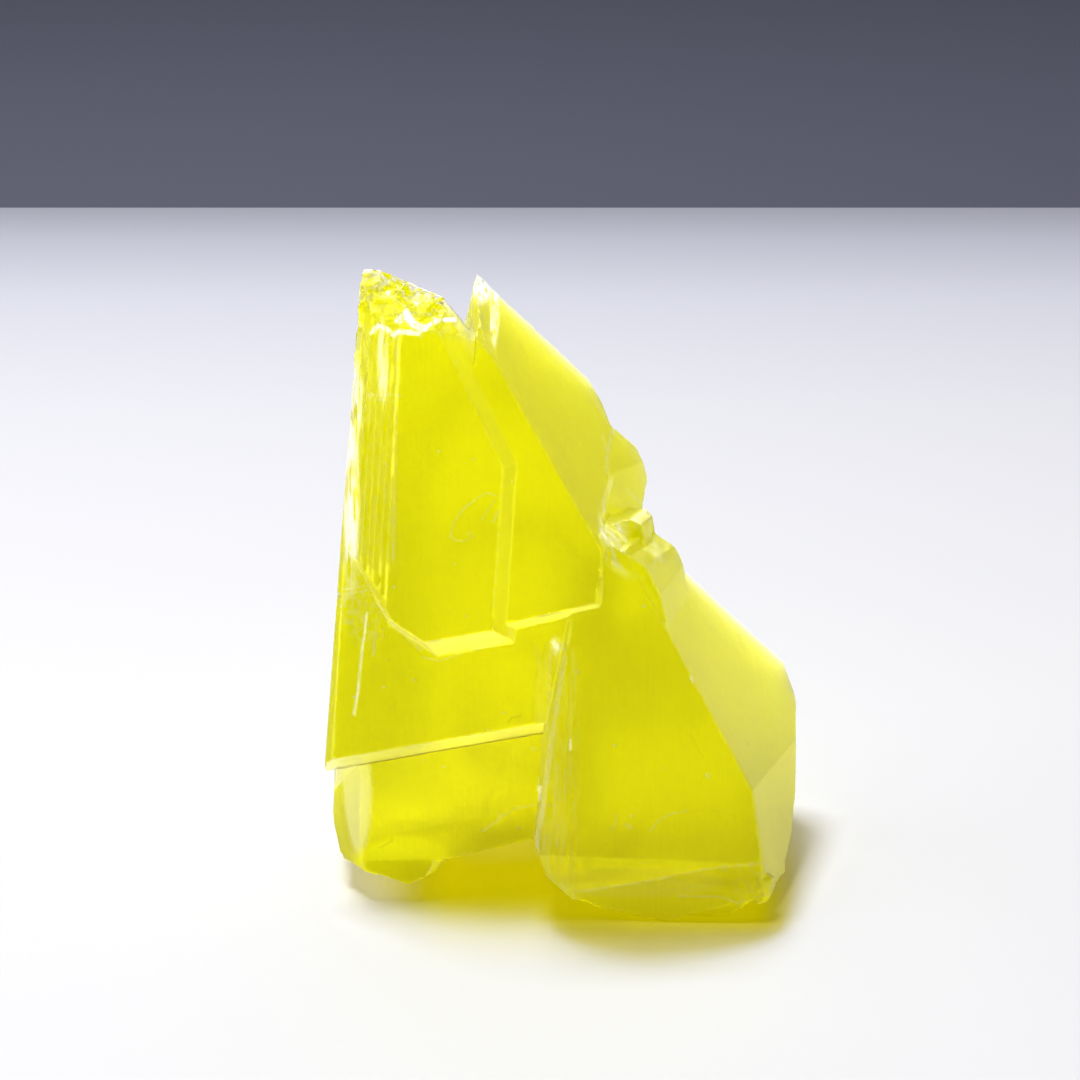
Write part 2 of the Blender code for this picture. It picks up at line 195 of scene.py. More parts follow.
# Patterns in the sulfur, in cells per metre: clouds of tone (7.1 mm), crumbs (0.45 mm), growth streaks
# (0.24 mm across the faces, 0.83 mm into them and 2.6 mm up them), and the cells that hold one speck of dust
# each (1.8 mm). Real crumbs and streaks are finer: these are as coarse as they need to be to show.
CLOUDS = 140.0
CRUMBS = 2200.0
STREAKS = (4200.0, 1200.0, 380.0)
SPECKS = 560.0
# Depth of the bump (mm).
BUMP_DEPTH = 0.06
# How white each kind of surface turns where its pattern shows. On worn edges the white is partly wear and
# partly a painted highlight.
WHITENESS = {"worn_edge_and_painted_highlight": 0.8, "broken": 0.15, "rough": 0.30, "striated": 0.16, "crushed_and_painted_highlight": 0.95}
# Typical for sulfur are an IOR of 1.95 to 2.24 and an absorption of blue alone.
SULFUR_IOR = 2.0
ABSORPTION = 60.0

# Where the pale floor ends in front of and behind the specimen, where the ground ends, and its level (m).
FLOOR_FRONT = -0.13
FLOOR_END = 0.2167
GROUND_END = 2.0
GROUND_SIDE = 1.5
GROUND_LEVEL = -0.0001
# The part of the floor whose light is worked out, and its cells (m).
SHADOW_X = (-0.045, 0.055)
SHADOW_Y = (-0.035, 0.045)
FLOOR_CELL = 0.0008
# The right-hand part of the specimen throws a painted shadow in front of it: from this x on and up to this z
# (m).
PAINTED_SHADOW_PART = (-0.001, 0.022)
# The main light, the place from which that painted shadow is thrown (m), and the spots each way on the light.
KEY_PLACE = (-0.125, 0.10, 0.60)
KEY_SIZE = 0.20
PAINTED_SHADOW_PLACE = (-0.08, 0.25, 0.60)
LIGHT_SPOTS = 6
# Strength of the painted glow on the floor where the whole main light comes through the crystal.
PAINTED_GLOW = 0.42
# Painted yellow shade on the floor at 0.3, 0.65 and all of the light caught, and the same for the painted
# shadow in front.
PAINTED_SHADE_STOPS = (0.3, 0.65)
PAINTED_SHADE_TINTS = (
    ("caught", ("#F8F7F2", "#E6E2BC", "#CEC040")),
    ("painted_shadow_ahead", ("#ECEAE0", "#C8BE78", "#B0A210")),
)
# Painted shade: tones of the floor, darker from the specimen to its far edge.
FLOOR_PAINTED_FALLOFF = ((0.45, "#BCBCC2"), (0.71, "#B0B1BB"), (0.88, "#9C9DA9"))

# Soft rectangular lights: name, place and size (m), power (W), and whether it lights the specimen alone.
LIGHTS = (
    ("key", KEY_PLACE, (KEY_SIZE, KEY_SIZE), 5.4, False),
    ("wide_overhead", (0.0, 0.60, 1.0), (1.2, 1.2), 5.0, False),
    ("front_fill", (-0.25, -0.12, 0.62), (0.5, 0.5), 1.5, True),
    ("low_left_panel", (-0.58, -0.45, 0.04), (0.4, 0.20), 2.4, True),
    ("low_right_panel", (0.50, -0.50, 0.04), (0.4, 0.20), 1.3, True),
    ("left_panel", (-0.55, 0.05, 0.45), (0.5, 0.5), 1.0, False),
    ("right_panel", (0.80, 0.05, 0.20), (0.8, 0.40), 1.5, True),
    ("back_panel", (-0.05, 0.62, 0.35), (0.7, 0.7), 7.0, True),
    ("low_back_panel", (-0.15, 0.60, 0.05), (0.7, 0.10), 0.5, True),
)
LIGHT_TARGET = (0.0, 0.0, 0.02)
WORLD_TONE = "#8A8C98"
WORLD_STRENGTH = 0.06
# The camera's place (m), its tilt (degrees), its focal length and the width of its film (mm).
CAMERA_PLACE = (-0.001969, -0.16857, 0.08584)
CAMERA_TILT = 70.0
LENS = 85.0
FILM_WIDTH = 36.0


def to_front(points):
    """Packed coordinates in mm to (u, v, w): dot products with the three axes, counted from FRONT_ZERO."""
    return (points - FRONT_ZERO) @ np.stack([U_AXIS, V_AXIS, W_AXIS], axis=1)


def ramp(low, high, value):
    """Smooth ramp from 0 at low to 1 at high: t*t*(3 - 2t). It falls where low is above high."""
    t = np.clip((value - low) / (high - low), 0.0, 1.0)
    return t * t * (3.0 - 2.0 * t)


def grain(points, size, seed):
    """Value noise from -1 to 1: seeded random values on a cubic lattice of that size (one number, or one
    for each axis), blended with t*t*(3 - 2t)."""
    table = np.random.default_rng(seed).uniform(-1.0, 1.0, (LATTICE, LATTICE, LATTICE))
    place = points / np.asarray(size) + LATTICE_SHIFT
    base = np.floor(place).astype(int)
    t = place - base
    t = t * t * (3.0 - 2.0 * t)
    total = np.zeros(len(points))
    for corner in range(8):
        offset = np.array([corner & 1, corner >> 1 & 1, corner >> 2 & 1])
        cell = (base + offset) % LATTICE
        share = np.prod(np.where(offset == 1, t, 1.0 - t), axis=1)
        total += share * table[cell[:, 0], cell[:, 1], cell[:, 2]]
    return total


def layered(points, size, seed, layers=3):
    """Sum of grain() at halving sizes and halving heights."""
    total = np.zeros(len(points))
    for layer in range(layers):
        total += grain(points, np.asarray(size) / 2 ** layer, seed + layer) / 2 ** layer
    return total


def places(front, table, soft):
    """The largest share that any ellipsoid of a table gives each point: its share inside, falling smoothly to
    0 at (1 + soft) times its size."""
    total = np.zeros(len(front))
    for centre, half_sizes, share in table:
        reach = np.sqrt((((front - np.array(centre)) / np.array(half_sizes)) ** 2).sum(1))
        total = np.maximum(total, share * (1.0 - ramp(1.0, 1.0 + soft, reach)))
    return total


def cad_shape(node):
    """The node's mesh in mm, with the corners of its loose triangles merged."""
    shape = bmesh.new()
    shape.from_mesh(node.data)
    bmesh.ops.scale(shape, vec=(1.0 / MM,) * 3, verts=shape.verts[:])
    bmesh.ops.remove_doubles(shape, verts=shape.verts[:], dist=MERGE_GAP)
    shape.normal_update()
    return shape


def facet_groups(shape):
    """Lists of triangles that lie in one plane, grown over edges where the normal turns less than
    SAME_FACET_DEG."""
    limit = math.cos(math.radians(SAME_FACET_DEG))
    shape.faces.ensure_lookup_table()
    seen = set()
    groups = []
    for first in shape.faces:
        if first.index in seen:
            continue
        seen.add(first.index)
        group = [first]
        for face in group:
            for edge in face.edges:
                for other in edge.link_faces:
                    if other.index not in seen and other.normal.dot(first.normal) > limit:
                        seen.add(other.index)
                        group.append(other)
        groups.append(group)
    return groups


def mean_normal(group):
    """Unit normal of a facet: the sum of its triangles' normals times their areas, made one long."""
    total = sum((face.normal * face.calc_area() for face in group), Vector())
    return np.array(total.normalized())


def rim_of(group):
    """The directed edges round a group, with the facet on their left."""
    directed = set()
    for face in group:
        ids = [corner.index for corner in face.verts]
        directed.update(zip(ids, ids[1:] + ids[:1]))
    return [pair for pair in directed if (pair[1], pair[0]) not in directed]


def between(start, end):
    """Points from start to end at even steps of RIM_SPACING at most, the ends left out."""
    steps = max(1, math.ceil(np.linalg.norm(end - start) / RIM_SPACING))
    return start + np.outer(np.arange(1, steps) / steps, end - start)


def rim_points(corners, rims, normals):
    """The corners and the points along all rims, the numbers of the points on each directed edge, and the
    turn of the surface at each point: the angle between the normals of the two facets that meet there,
    negative in a hollow. Where edges meet, the sharpest counts."""
    side = {pair: number for number, rim in enumerate(rims) for pair in rim}
    points = [corners]
    count = len(corners)
    on_edge = {}
    bends = {}
    for (a, b), number in side.items():
        if a > b and (b, a) in side:
            continue
        fresh = between(corners[a], corners[b])
        on_edge[(a, b)] = np.arange(count, count + len(fresh))
        on_edge[(b, a)] = on_edge[(a, b)][::-1]
        points.append(fresh)
        count += len(fresh)
        other = side.get((b, a), number)
        bend = math.degrees(math.acos(np.clip(normals[number] @ normals[other], -1.0, 1.0)))
        hollow = np.cross(normals[number], normals[other]) @ (corners[b] - corners[a]) < 0
        bends[(a, b)] = -bend if hollow else bend
    turn = np.zeros(count)
    for (a, b), bend in bends.items():
        ids = np.concatenate([[a, b], on_edge[(a, b)]]).astype(int)
        turn[ids] = np.where(np.abs(turn[ids]) > abs(bend), turn[ids], bend)
    return np.concatenate(points), on_edge, turn


def rim_distance(points, starts, ends):
    """Distance in the plane from each point to the nearest rim segment: |p - a - t(b - a)|, t from 0 to 1."""
    along = ends - starts
    length2 = np.maximum((along ** 2).sum(1), TINY)
    gap = points[:, None, :] - starts[None]
    t = np.clip((gap * along[None]).sum(2) / length2[None], 0.0, 1.0)
    return np.sqrt(((gap - t[:, :, None] * along[None]) ** 2).sum(2).min(1))


def inside_rim(points, starts, ends):
    """True where a ray along +x from the point crosses the rim an odd number of times."""
    y = points[:, 1][:, None]
    crosses = (starts[None, :, 1] > y) != (ends[None, :, 1] > y)
    rise = ends[:, 1] - starts[:, 1]
    slope = (ends[:, 0] - starts[:, 0]) / np.where(rise == 0.0, 1.0, rise)
    at = starts[None, :, 0] + (y - starts[None, :, 1]) * slope[None]
    return (crosses & (at > points[:, 0][:, None])).sum(1) % 2 == 1


def inner_points(starts, ends, spacing, extra):
    """Points inside a facet: one row STRIP_WIDTH in from the rim, the extra points, and a hexagonal grid, all
    kept a little clear of the rim."""
    along = ends - starts
    inward = np.stack([-along[:, 1], along[:, 0]], axis=1)
    inward /= np.maximum(np.linalg.norm(along, axis=1), TINY)[:, None]
    strip = (starts + ends) / 2 + inward * STRIP_WIDTH
    low = starts.min(0)
    high = starts.max(0)
    rows = np.arange(low[1], high[1], spacing * math.sqrt(0.75))
    columns = np.arange(low[0], high[0] + spacing, spacing)
    grid_x, grid_y = np.meshgrid(columns, rows)
    grid_x = grid_x + (np.arange(len(rows)) % 2)[:, None] * spacing / 2
    grid = np.stack([grid_x.ravel(), grid_y.ravel()], axis=1)
    kept = [np.zeros((0, 2))]
    for points, clear in ((strip, 0.95), (extra, 1.2), (grid, 1.9)):
        for block in np.array_split(points, len(points) * len(starts) // BLOCK + 1):
            block = block[inside_rim(block, starts, ends)]
            kept.append(block[rim_distance(block, starts, ends) > STRIP_WIDTH * clear])
    return np.concatenate(kept)


def thickness(corners):
    """Height of each triangle in mm over its longest side: twice its area divided by that side."""
    sides = corners - np.roll(corners, 1, axis=1)
    doubled = np.abs(sides[:, 0, 0] * sides[:, 1, 1] - sides[:, 0, 1] * sides[:, 1, 0])
    return doubled / np.linalg.norm(sides, axis=2).max(1)


def mark_rows():
    """Points in (u, v) along each mark's line and beside it, at MARK_STEP, so a facet can carry the mark."""
    rows = []
    for half_width, _, line in MARKS:
        line = np.array(line)
        outer = half_width + MARK_EDGE
        for start, end in zip(line[:-1], line[1:]):
            length = np.linalg.norm(end - start)
            along = (end - start) / length
            across = np.array([-along[1], along[0]])
            steps = np.arange(0.0, length, MARK_STEP)[:, None] * along + start
            for offset in (0.0, half_width, -half_width, outer, -outer):
                rows.append(steps + across * offset)
    return np.concatenate(rows)


def mark_tones(front, outward):
    """Pale and dark shares of the marks, on front faces: each fades out MARK_EDGE past its half width."""
    facing = ramp(0.15, 0.35, outward @ W_AXIS)
    pale = np.zeros(len(front))
    dark = np.zeros(len(front))
    for half_width, tone, line in MARKS:
        line = np.array(line)
        low = line.min(0) - MARK_MARGIN
        high = line.max(0) + MARK_MARGIN
        near = np.all((front[:, :2] > low) & (front[:, :2] < high), axis=1)
        near = np.nonzero(near & (facing > 0.0))[0]
        if len(near) == 0:
            continue
        gap = rim_distance(front[near, :2], line[:-1], line[1:])
        cover = ramp(half_width + MARK_EDGE, half_width, gap) * facing[near] * abs(tone)
        target = pale if tone > 0 else dark
        target[near] = np.maximum(target[near], cover)
    return pale, dark


def facet_detail(centre, normal, axes, rows):
    """Spacing of a facet's points, and the mark points that fall on it, in its own plane. A mark point (u, v)
    lies where the line along w through it meets the plane. facing is 1 for a facet straight to the front."""
    facing = normal @ W_AXIS
    u, v, w = to_front(centre[None])[0]
    left_bevel = u < -10.3 and v > 18.0 and w > -1.5
    broken_top = v > 41.0
    if (left_bevel or broken_top) and facing > 0.1:
        spacing = BUSY_SPACING
    else:
        spacing = FILL_SPACING if facing > -0.1 else BACK_SPACING
    if facing < 0.25:
        return spacing, np.zeros((0, 2))
    slope_u = normal @ U_AXIS
    slope_v = normal @ V_AXIS
    depth = w - ((rows[:, 0] - u) * slope_u + (rows[:, 1] - v) * slope_v) / facing
    spots = FRONT_ZERO + rows[:, :1] * U_AXIS + rows[:, 1:] * V_AXIS + depth[:, None] * W_AXIS
    return spacing, (spots - centre) @ axes


def fill_facet(rim, segments, normal, rows):
    """A facet's new points, and its triangles as numbers into its rim points followed by the new points. The
    points are joined in the facet's own plane, and what falls outside its rim is left out."""
    centre = rim.mean(0)
    axis_x = np.cross(normal, [0.31, 0.95, 0.05])
    axis_x /= np.linalg.norm(axis_x)
    axes = np.stack([axis_x, np.cross(normal, axis_x)], axis=1)
    flat = (rim - centre) @ axes
    starts = flat[segments[:, 0]]
    ends = flat[segments[:, 1]]
    inner = inner_points(starts, ends, *facet_detail(centre, normal, axes, rows))
    offered = [Vector(p) for p in np.concatenate([flat, inner])]
    made = delaunay_2d_cdt(offered, segments.tolist(), [], 0, MEET_GAP, True)
    place = np.array([point[:] for point in made[0]])
    faces = np.array(made[2], int)
    faces = faces[inside_rim(place[faces].mean(1), starts, ends)]
    faces = faces[thickness(place[faces]) > THINNEST]
    source = np.array([ids[0] if ids else -1 for ids in made[3]])
    on_rim = (source >= 0) & (source < len(rim))
    numbers = np.empty(len(source), int)
    numbers[on_rim] = source[on_rim]
    numbers[~on_rim] = len(rim) + np.arange((~on_rim).sum())
    return centre + place[~on_rim] @ axes.T, numbers[faces]


def worked_surface(node):
    """The node's facets filled with fine triangles that share their rims: points, triangles and the turn of
    the surface at each point (degrees, negative in a hollow, 0 inside a facet)."""
    shape = cad_shape(node)
    corners = np.array([corner.co[:] for corner in shape.verts])
    groups = facet_groups(shape)
    rims = [rim_of(group) for group in groups]
    normals = [mean_normal(group) for group in groups]
    shape.free()
    points, on_edge, turn = rim_points(corners, rims, normals)
    rows = mark_rows()
    parts = [points]
    triangles = []
    count = len(points)
    for rim, normal in zip(rims, normals):
        paths = [np.concatenate([[a], on_edge[(a, b)], [b]]).astype(int) for a, b in rim]
        segments = np.concatenate([np.stack([path[:-1], path[1:]], axis=1) for path in paths])
        rim_ids = np.unique(segments)
        fresh, faces = fill_facet(points[rim_ids], np.searchsorted(rim_ids, segments), normal, rows)
        ids = np.concatenate([rim_ids, np.arange(count, count + len(fresh))])
        count += len(fresh)
        parts.append(fresh)
        triangles.append(ids[faces])
    return np.concatenate(parts), np.concatenate(triangles), np.pad(turn, (0, count - len(turn)))


def outward_at(points, triangles):
    """Outward direction at each point: the mean of its triangles' unit normals."""
    a, b, c = (points[triangles[:, i]] for i in range(3))
    normal = np.cross(b - a, c - a)
    normal /= np.maximum(np.linalg.norm(normal, axis=1), TINY)[:, None]
    total = np.zeros_like(points)
    for i in range(3):
        np.add.at(total, triangles[:, i], normal)
    return total / np.maximum(np.linalg.norm(total, axis=1), TINY)[:, None]


def diagonal(front):
    """Ridges of the neck, from -1 to 1: noise drawn out along a line that falls to the right."""
    across = front @ np.array([0.64, 0.77, 0.0])
    along = front @ np.array([0.77, -0.64, 0.0])
    return grain(np.stack([across, along, front[:, 2]], axis=1), (0.6, 3.0, 2.5), 101)


def tip_fall(front):
    """How far back in mm the chipped left corner of the right-hand tip lies. It grows to the left of the
    chip's edge, starts at its slanting lower line and fades out with the depth below the face."""
    u, v, w = front.T
    side = np.clip(-4.31 - u, 0.0, 1.6)
    above = ramp(0.0, 0.35, v - 38.7 - 1.24 * side)
    face = -3.13 - 2.18 * (u + 4.31) - 1.22 * (v - 41.68)
    return 0.9 * side * above * np.clip(1.0 - (face - w) / 2.5, 0.0, 1.0)


def region_shares(front):
    """Share from 0 to 1 of each kind of surface at each point of the front frame. The top is broken above a
    wavy, falling line; striations run up the left bevel and the right crystal's left strip."""
    u, v, w = front.T
    break_line = v + 0.33 * (u + 10.0) + 0.5 * grain(front, 0.9, 5)
    broken = ramp(41.0, 41.6, break_line) * ramp(-5.6, -6.4, u)
    broken = np.maximum(broken, places(front, CHIPPED, 0.5))
    broken = np.maximum(broken, ramp(0.0, 0.6, tip_fall(front)) * 0.7)
    bevel = ramp(-10.9, -11.5, u) * ramp(24.0, 26.0, v) * ramp(41.5, 40.5, v) * ramp(-2.5, -1.0, w)
    strip = ramp(1.4, 0.9, u) * ramp(-1.9, -1.5, u) * ramp(19.5, 18.5, v) * ramp(-2.0, -0.6, w)
    gaps = 0.5 + 0.5 * ramp(-0.7, 0.1, layered(front, (0.5, 1.4, 0.8), 91, 2))
    neck = places(front, RIDGED, 0.4)
    white_ridges = 0.7 * neck * ramp(0.05, 0.5, diagonal(front))
    return {
        "broken": broken,
        "striated": np.maximum(bevel, strip),
        "rough": places(front, SCUFFED, 0.6),
        "crushed_and_painted_highlight": np.maximum(places(front, CRUSHED_AND_PAINTED_HIGHLIGHT, 0.8) * gaps, white_ridges),
        "painted_reflection": places(front, PAINTED_REFLECTION_PLACES, 0.25),
        "cloudy_and_painted_light": places(front, CLOUDY_AND_PAINTED_LIGHT, 0.3),
        "neck": neck,
    }


def surface_shares(front, outward, turn):
    """All shares at each point: those of region_shares(), the marks, a darker tone with painted shade and a
    painted pale reflection on faces that look to the right or down, and the worn edges, which are whiter
    where the surface is harmed and carry a painted highlight."""
    share = region_shares(front)
    share["mark_pale"], share["dark_mark_and_painted_shade"] = mark_tones(front, outward)
    whitest = np.clip((share["mark_pale"] - WHITE_MARK) / (1.0 - WHITE_MARK), 0.0, 1.0)
    share["crushed_and_painted_highlight"] = np.maximum(share["crushed_and_painted_highlight"], whitest)
    u, v, w = front.T
    to_right = outward @ U_AXIS
    sheet = ramp(26.0, 28.0, v)
    slope = ramp(0.5, 0.7, to_right) * ramp(0.8, 0.2, w)
    shield_side = ramp(0.3, 0.5, to_right) * ramp(0.3, 0.7, w) * sheet
    ledge = ramp(-0.30, -0.50, outward @ V_AXIS) * ramp(7.0, 8.5, v)
    top = share["broken"] * ramp(40.0, 41.0, v)
    # Painted shade: faces that look to the right or down and the broken top get a darker colour.
    dark_tone_and_painted_shade = 0.2 + 0.08 * slope * sheet + 0.3 * ledge + 0.15 * shield_side
    # Painted light: the two feet lose the darker tone.
    dark_tone_and_painted_shade += 0.15 * top - 0.2 * share["cloudy_and_painted_light"]
    share["dark_mark_and_painted_shade"] = np.maximum(share["dark_mark_and_painted_shade"], dark_tone_and_painted_shade)
    # Painted reflection: faces that look to the right, low down and on the sheet, and faces that look down
    # turn paler.
    painted_reflection_on_slopes = 0.06 * slope * sheet + 0.18 * slope * ramp(26.0, 24.0, v)
    share["painted_reflection"] = np.maximum(share["painted_reflection"], painted_reflection_on_slopes + 0.35 * ledge)
    harm = np.max([share[name] for name in ("broken", "crushed_and_painted_highlight", "rough", "striated")], axis=0)
    # Worn edges turn white, partly as wear and partly as a painted edge highlight.
    worn = ramp(SHARP_DEG, WORN_DEG, turn) * (0.12 + 0.88 * harm)
    share["worn_edge_and_painted_highlight"] = worn * (1.0 - 0.6 * share["striated"])
    return share


def relief(front, turn, share):
    """Height in mm of the fine relief at each point, along the outward direction: broad waves and growth
    lines, striations, scuffs, shallow marks, the shells of the break, the ridges of the neck, edges worn and
    chipped away, and hollows filled a little."""
    height = 0.016 * layered(front, 3.2, 11) + 0.006 * layered(front, 0.7, 21, 2)
    height += share["striated"] * 0.004 * layered(front, (0.55, 9.0, 0.9), 31, 2)
    height += (1.0 - share["striated"]) * 0.006 * grain(front, (0.45, 9.0, 0.8), 35)
    height += share["rough"] * 0.035 * layered(front, 1.1, 41, 2) - share["dark_mark_and_painted_shade"] * 0.02
    shell = np.abs(layered(front, 1.7, 51, 2))
    height += share["broken"] * (0.13 * shell - 0.10 + 0.03 * np.abs(layered(front, 0.6, 61, 2)))
    height += share["neck"] * 0.2 * diagonal(front)
    chipping = ramp(0.25, 0.9, layered(front, 1.1, 71, 2))
    crumbling = ramp(0.1, 0.8, layered(front, 0.5, 81, 2))
    chips = 0.022 + 0.09 * chipping + 0.04 * crumbling + 0.06 * share["broken"] * crumbling
    height -= ramp(SHARP_DEG, WORN_DEG, turn) * chips * (1.0 - 0.9 * share["striated"])
    height += ramp(SHARP_DEG, FILLED_DEG, -turn) * 0.02
    return height


def add_attributes(mesh, values_by_name):
    """Give a mesh one number for each point under each name."""
    for name, values in values_by_name.items():
        layer = mesh.attributes.new(name, "FLOAT", "POINT")
        layer.data.foreach_set("value", values.ravel().astype(np.float32))


def make_crystal():
    """The specimen's surface: filled facets with their relief, kept on the level it stands on."""
    points, triangles, turn = worked_surface(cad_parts["sulfur_crystal"])
    outward = outward_at(points, triangles)
    front = to_front(points)
    share = surface_shares(front, outward, turn)
    moved = points + outward * relief(front, turn, share)[:, None] - W_AXIS * tip_fall(front)[:, None]
    sole = points[:, 2] < SOLE_HEIGHT
    moved[:, 2] = np.where(sole, points[:, 2], np.maximum(moved[:, 2], 0.0))
    mesh = bpy.data.meshes.new("sulfur_surface")
    mesh.vertices.add(len(moved))
    mesh.vertices.foreach_set("co", (moved * MM).astype(np.float32).ravel())
    mesh.loops.add(triangles.size)
    mesh.loops.foreach_set("vertex_index", triangles.astype(np.int32).ravel())
    mesh.polygons.add(len(triangles))
    mesh.polygons.foreach_set("loop_start", np.arange(0, triangles.size, 3, dtype=np.int32))
    mesh.polygons.foreach_set("use_smooth", np.ones(len(triangles), bool))
    mesh.update(calc_edges=True)
    mesh.validate()
    mesh.set_sharp_from_angle(angle=math.radians(SHADING_DEG))
    add_attributes(mesh, {name: share[name] for name in SHARES})
    crystal = bpy.data.objects.new("sulfur_surface", mesh)
    bpy.context.scene.collection.objects.link(crystal)
    return crystal


def colour(code):
    """sRGB hex to linear RGBA."""
    parts = [int(code[i:i + 2], 16) / 255 for i in (1, 3, 5)]
    return [c / 12.92 if c <= 0.04045 else ((c + 0.055) / 1.055) ** 2.4 for c in parts] + [1.0]


def add(tree, kind, settings=None, **links):
    """Add a node, set its properties, and set or link its inputs, each by its name or by i and its number."""
    node = tree.nodes.new("ShaderNode" + kind)
    for name, value in (settings or {}).items():
        setattr(node, name, value)
    for name, value in links.items():
        key = int(name[1:]) if name[0] == "i" and name[1:].isdigit() else name.replace("_", " ")
        if isinstance(value, bpy.types.NodeSocket):
            tree.links.new(value, node.inputs[key])
        else:
            node.inputs[key].default_value = value
    return node


TIMES = {"operation": "MULTIPLY"}
LARGER = {"operation": "MAXIMUM"}


def make_sulfur():
    """Native sulfur, grown from solution: soft, translucent, with a resinous to greasy lustre. Light goes
    deep into it, so every face glows in the same clear yellow, and broken edges look whiter. Transmission and
    soft scattering share the light, and a yellow absorption deepens the thick parts."""
    material = bpy.data.materials.new("native_sulfur")
    material.use_nodes = True
    tree = material.node_tree
    tree.nodes.clear()
    out = add(tree, "OutputMaterial")
    place = add(tree, "TexCoord").outputs["Object"]
    share = {name: add(tree, "Attribute", {"attribute_name": name}).outputs["Fac"] for name in SHARES}
    front = add(tree, "VectorRotate", {"rotation_type": "X_AXIS"}, Vector=place, Angle=LEAN).outputs["Vector"]
    along = add(tree, "VectorMath", TIMES, i0=front, i1=STREAKS).outputs["Vector"]
    streak = add(tree, "TexNoise", Vector=along, Scale=1.0, Detail=3.0, Roughness=0.6).outputs["Fac"]
    cloud = add(tree, "TexNoise", Vector=place, Scale=CLOUDS, Detail=4.0, Roughness=0.55).outputs["Fac"]
    fine = add(tree, "TexNoise", Vector=place, Scale=CRUMBS, Detail=3.0, Roughness=0.6).outputs["Fac"]
    crumbs = add(tree, "MapRange", Value=fine, From_Min=0.45, From_Max=0.62).outputs["Result"]
    streaks = add(tree, "MapRange", Value=streak, From_Min=0.42, From_Max=0.62).outputs["Result"]
    patches = add(tree, "MapRange", Value=streak, From_Min=0.36, From_Max=0.50).outputs["Result"]
    gaps = add(tree, "MapRange", Value=fine, From_Min=0.40, From_Max=0.58, To_Min=0.35).outputs["Result"]
    # Crushed, scuffed and chipped sulfur scatters light at once and looks almost white. The white of worn
    # edges is partly a painted highlight, and that of the right-hand tip is a painted highlight.
    white = {"mark_pale": add(tree, "Math", TIMES, i0=share["mark_pale"], i1=gaps).outputs["Value"]}
    pattern = {"striated": streaks, "crushed_and_painted_highlight": patches}
    for name, amount in WHITENESS.items():
        scaled = add(tree, "Math", TIMES, i0=share[name], i1=amount).outputs["Value"]
        white[name] = add(tree, "Math", TIMES, i0=scaled, i1=pattern.get(name, crumbs)).outputs["Value"]
    # Crushed white and painted reflection make the colour milky.
    milky_and_painted_light = add(tree, "Math", LARGER, i0=white.pop("crushed_and_painted_highlight"), i1=share["painted_reflection"]).outputs["Value"]
    # Dust, in specks of about 0.2 mm.
    dust = add(tree, "TexVoronoi", Vector=place, Scale=SPECKS).outputs["Distance"]
    pale = add(tree, "MapRange", Value=dust, From_Min=0.07, From_Max=0.045, To_Max=0.7).outputs["Result"]
    for part in white.values():
        pale = add(tree, "Math", LARGER, i0=pale, i1=part).outputs["Value"]
    blend = add(tree, "Mix", i0=0.45, i2=cloud, i3=streak).outputs["Result"]
    body = add(tree, "ValToRGB", Fac=blend)
    for stop, position, code in zip(body.color_ramp.elements, (0.3, 0.7), ("#FAF000", "#FFFC00")):
        stop.position = position
        stop.color = colour(code)
    tone = body.outputs["Color"]
    # Painted light in the colour: the dark share holds painted shade, the pale share painted edge highlights,
    # and the milky share a painted tip highlight and painted reflection.
    for amount, code in ((share["dark_mark_and_painted_shade"], "#A89A00"), (pale, "#FFFDBC"), (milky_and_painted_light, "#FFFDE4")):
        tone = add(tree, "MixRGB", Fac=amount, Color1=tone, Color2=colour(code)).outputs["Color"]
    dim = add(tree, "Math", TIMES, i0=share["cloudy_and_painted_light"], i1=0.8).outputs["Value"]
    dim = add(tree, "Math", LARGER, i0=milky_and_painted_light, i1=dim).outputs["Value"]
    clear = add(tree, "MapRange", Value=dim, To_Min=0.63, To_Max=0.15).outputs["Result"]
    soft = add(tree, "MapRange", Value=milky_and_painted_light, To_Min=1.0, To_Max=0.8).outputs["Result"]
    # Grown faces are dull, and the shells of the break shine.
    dull = add(tree, "MapRange", Value=share["broken"], From_Min=0.5, To_Min=0.42, To_Max=0.2)
    ridges = add(tree, "Math", {"operation": "MULTIPLY_ADD"}, i0=streak, i1=0.8, i2=fine).outputs["Value"]
    bump = add(tree, "Bump", Height=ridges, Strength=0.3, Distance=BUMP_DEPTH * MM).outputs["Normal"]
    shader = add(tree, "BsdfPrincipled", Base_Color=tone, Roughness=dull.outputs["Result"], Normal=bump,
                 Transmission_Weight=clear, Subsurface_Weight=soft)
    shader.inputs["IOR"].default_value = SULFUR_IOR
    shader.inputs["Specular Tint"].default_value = (1.0, 1.0, 0.10, 1.0)
    shader.inputs["Subsurface Scale"].default_value = 0.1
    shader.inputs["Subsurface Radius"].default_value = (1.0, 0.95, 0.12)
    tree.links.new(shader.outputs["BSDF"], out.inputs["Surface"])
    volume = add(tree, "VolumeAbsorption", Color=colour("#FFFD00"), Density=ABSORPTION)
    tree.links.new(volume.outputs["Volume"], out.inputs["Volume"])
    return material


def thrown(points, spot):
    """Where the ray from a spot on a light through each point p meets the floor: spot + (p - spot) times the
    spot's height over its height above p."""
    reach = spot[2] / (spot[2] - points[:, 2])
    return spot[:2] + (points[:, :2] - spot[:2]) * reach[:, None]


